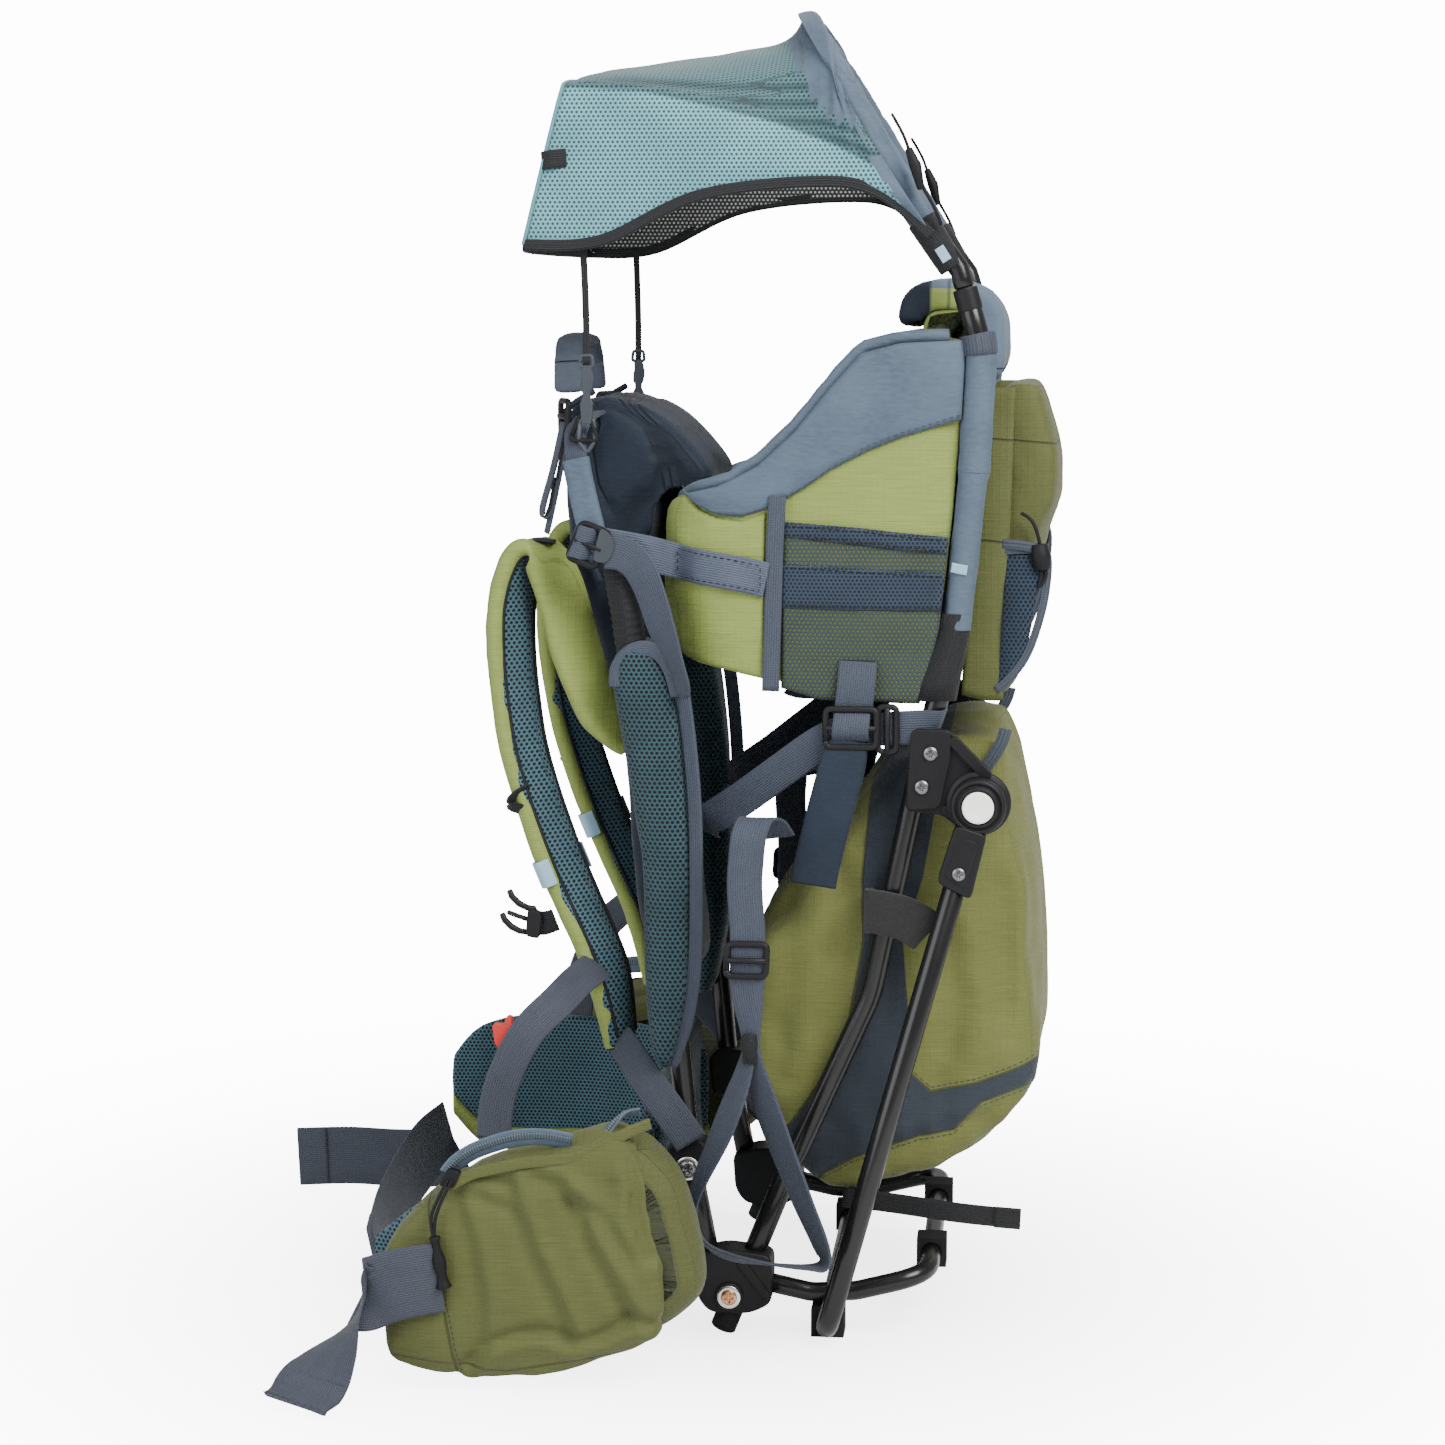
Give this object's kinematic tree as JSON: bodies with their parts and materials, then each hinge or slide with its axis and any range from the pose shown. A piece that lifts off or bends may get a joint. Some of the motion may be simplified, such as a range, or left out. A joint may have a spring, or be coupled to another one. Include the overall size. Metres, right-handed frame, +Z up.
{
  "type": "baby carrier backpack",
  "caption": "Framed baby carrier backpack with padded cockpit, mesh sun canopy, hip belt with pouches, shoulder straps, foot stirrups, rear bags and a folding kickstand.",
  "frame": {"origin": "on the ground, midway between the left and right sides and between the front of the hip belt and the rear of the bags, free webbing left out", "axes": "+Z up, +X to the wearer's left, +Y to the rear, away from the wearer"},
  "size_m": [0.6446, 0.6401, 0.9558],
  "materials": {
    "black_tube": "satin black powder coat",
    "black_plastic": "moulded, lightly grained",
    "rubber": "matte",
    "zinc_screw": "bright zinc",
    "copper_screw": "bright, copper-toned",
    "white_button": "smooth white",
    "olive_cloth": "olive ripstop, slightly creased",
    "gray_cloth": "blue-gray woven cloth",
    "navy_cloth": "dark navy soft shell",
    "canopy_mesh": "teal knitted mesh",
    "spacer_mesh": "dark teal spacer mesh",
    "gray_webbing": "ribbed nylon webbing"
  },
  "bodies": {
    "frame": {"main_tube_left": "black_tube", "main_tube_right": "black_tube", "front_stay_left": "black_tube", "front_stay_right": "black_tube", "front_crossbar": "black_tube", "rear_crossbar": "black_tube", "base_loop": "black_tube", "foot_fitting_left": "black_plastic", "foot_fitting_right": "black_plastic", "stay_bracket_left": "black_plastic", "stay_bracket_right": "black_plastic", "hinge_bracket_left": "black_plastic", "hinge_bracket_right": "black_plastic", "base_clip_left": "rubber", "base_clip_right": "rubber", "stay_bolt_left": "zinc_screw", "stay_bolt_right": "zinc_screw", "bracket_screw_upper_left": "zinc_screw", "bracket_screw_upper_right": "zinc_screw", "bracket_screw_lower_left": "zinc_screw", "bracket_screw_lower_right": "zinc_screw", "foot_bolt_left": "copper_screw", "foot_bolt_right": "copper_screw", "cockpit_pad": "olive_cloth", "upper_bag": "olive_cloth", "lower_bag": "olive_cloth", "shoulder_strap_left": "olive_cloth", "shoulder_strap_right": "olive_cloth", "head_rest": "gray_cloth", "grab_handle": "gray_cloth", "seat": "navy_cloth", "back_pad": "navy_cloth", "lumbar_pad": "spacer_mesh", "back_bolster_left": "spacer_mesh", "back_bolster_right": "spacer_mesh"},
    "kickstand": {"kickstand_tube": "black_tube", "kickstand_foot_left": "rubber", "kickstand_foot_right": "rubber", "hinge_arm_left": "black_plastic", "hinge_arm_right": "black_plastic", "arm_screw_left": "zinc_screw", "arm_screw_right": "zinc_screw"},
    "button_left": {"press_button_left": "white_button"},
    "button_right": {"press_button_right": "white_button"},
    "canopy": {"canopy_hoop": "black_tube", "canopy_shell": "canopy_mesh", "canopy_strap_left": "gray_webbing", "canopy_strap_right": "gray_webbing", "canopy_hook_left": "black_plastic", "canopy_hook_right": "black_plastic"},
    "hip_left": {"hip_wing_left": "spacer_mesh", "hip_pouch_left": "olive_cloth", "belt_webbing_left": "gray_webbing"},
    "hip_right": {"hip_wing_right": "spacer_mesh", "hip_pouch_right": "olive_cloth", "belt_webbing_right": "gray_webbing", "belt_webbing_cross": "gray_webbing"},
    "stirrup_left": {"stirrup_left": "gray_webbing"},
    "stirrup_right": {"stirrup_right": "gray_webbing"},
    "chest_buckle": {"sternum_buckle": "black_plastic"}
  },
  "joints": [
    {"name": "kickstand_swing", "type": "hinge", "parent": "frame", "child": "kickstand", "pos_m": [0, 0.198, 0.397], "axis": [1, 0, 0], "range_deg": [0, 35]},
    {"name": "press_button_left_push", "type": "slide", "parent": "kickstand", "child": "button_left", "axis": [-1, 0, 0], "range_m": [0, 0.003], "stiffness_N_per_m": 600},
    {"name": "press_button_right_push", "type": "slide", "parent": "kickstand", "child": "button_right", "axis": [1, 0, 0], "range_m": [0, 0.003], "stiffness_N_per_m": 600},
    {"name": "canopy_lift", "type": "slide", "parent": "frame", "child": "canopy", "axis": [0, -0.28, 0.96], "range_m": [0, 0.03]},
    {"name": "hip_left_swing", "type": "hinge", "parent": "frame", "child": "hip_left", "pos_m": [0.16, -0.028, 0.098], "axis": [0, 0, -1], "range_deg": [-8, 20]},
    {"name": "hip_right_swing", "type": "hinge", "parent": "frame", "child": "hip_right", "pos_m": [-0.16, -0.028, 0.098], "axis": [0, 0, 1], "range_deg": [-8, 20]},
    {"name": "stirrup_left_swing", "type": "hinge", "parent": "frame", "child": "stirrup_left", "pos_m": [0.193, 0.038, 0.392], "axis": [1, 0, 0], "range_deg": [-3, 25]},
    {"name": "stirrup_right_swing", "type": "hinge", "parent": "frame", "child": "stirrup_right", "pos_m": [-0.193, 0.038, 0.392], "axis": [1, 0, 0], "range_deg": [-3, 25]},
    {"name": "sternum_slide", "type": "slide", "parent": "frame", "child": "chest_buckle", "axis": [0, -0.3939, 0.9191], "range_m": [0, 0.04]}
  ]
}
